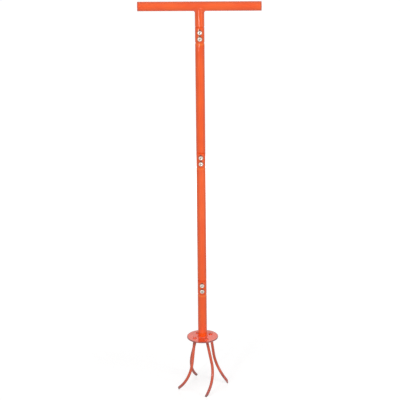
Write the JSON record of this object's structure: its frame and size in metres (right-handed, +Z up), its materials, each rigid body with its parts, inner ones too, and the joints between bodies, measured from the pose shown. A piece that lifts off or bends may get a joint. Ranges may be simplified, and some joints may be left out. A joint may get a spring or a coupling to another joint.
{
  "type": "claw cultivator",
  "caption": "Standing claw cultivator: a T handle on a bolted tube shaft, and a round plate with bent rod tines that are pushed into soil and twisted.",
  "frame": {"origin": "on the shaft's axis, at the level of the tines' points", "axes": "+Z up along the shaft, X along the crossbar, -Y the front, where the screw heads show"},
  "size_m": [0.284, 0.1272, 0.9662],
  "materials": {
    "orange_paint": "glossy powder coat over tube, plate, tines and weld beads",
    "zinc_steel": "bright zinc plate on the screws and lock nuts",
    "nylon": "plain nylon rings in the lock nuts"
  },
  "bodies": {
    "root": {"handle_crossbar": "orange_paint", "handle_end_cap_left": "orange_paint", "handle_end_cap_right": "orange_paint", "handle_stem": "orange_paint", "handle_weld_bead": "orange_paint", "head_tube": "orange_paint", "lower_joint_nut_lower": "zinc_steel", "lower_joint_nut_ring_lower": "nylon", "lower_joint_nut_ring_upper": "nylon", "lower_joint_nut_upper": "zinc_steel", "lower_joint_screw_lower": "zinc_steel", "lower_joint_screw_upper": "zinc_steel", "lower_shaft_tube": "orange_paint", "middle_joint_nut_lower": "zinc_steel", "middle_joint_nut_ring_lower": "nylon", "middle_joint_nut_ring_upper": "nylon", "middle_joint_nut_upper": "zinc_steel", "middle_joint_screw_lower": "zinc_steel", "middle_joint_screw_upper": "zinc_steel", "plate_weld_bead": "orange_paint", "tine_back_left": "orange_paint", "tine_back_right": "orange_paint", "tine_front_left": "orange_paint", "tine_front_right": "orange_paint", "tine_plate": "orange_paint", "tine_weld_back_left": "orange_paint", "tine_weld_back_right": "orange_paint", "tine_weld_front_left": "orange_paint", "tine_weld_front_right": "orange_paint", "upper_joint_nut_lower": "zinc_steel", "upper_joint_nut_ring_lower": "nylon", "upper_joint_nut_ring_upper": "nylon", "upper_joint_nut_upper": "zinc_steel", "upper_joint_screw_lower": "zinc_steel", "upper_joint_screw_upper": "zinc_steel", "upper_shaft_tube": "orange_paint"}
  },
  "joints": []
}
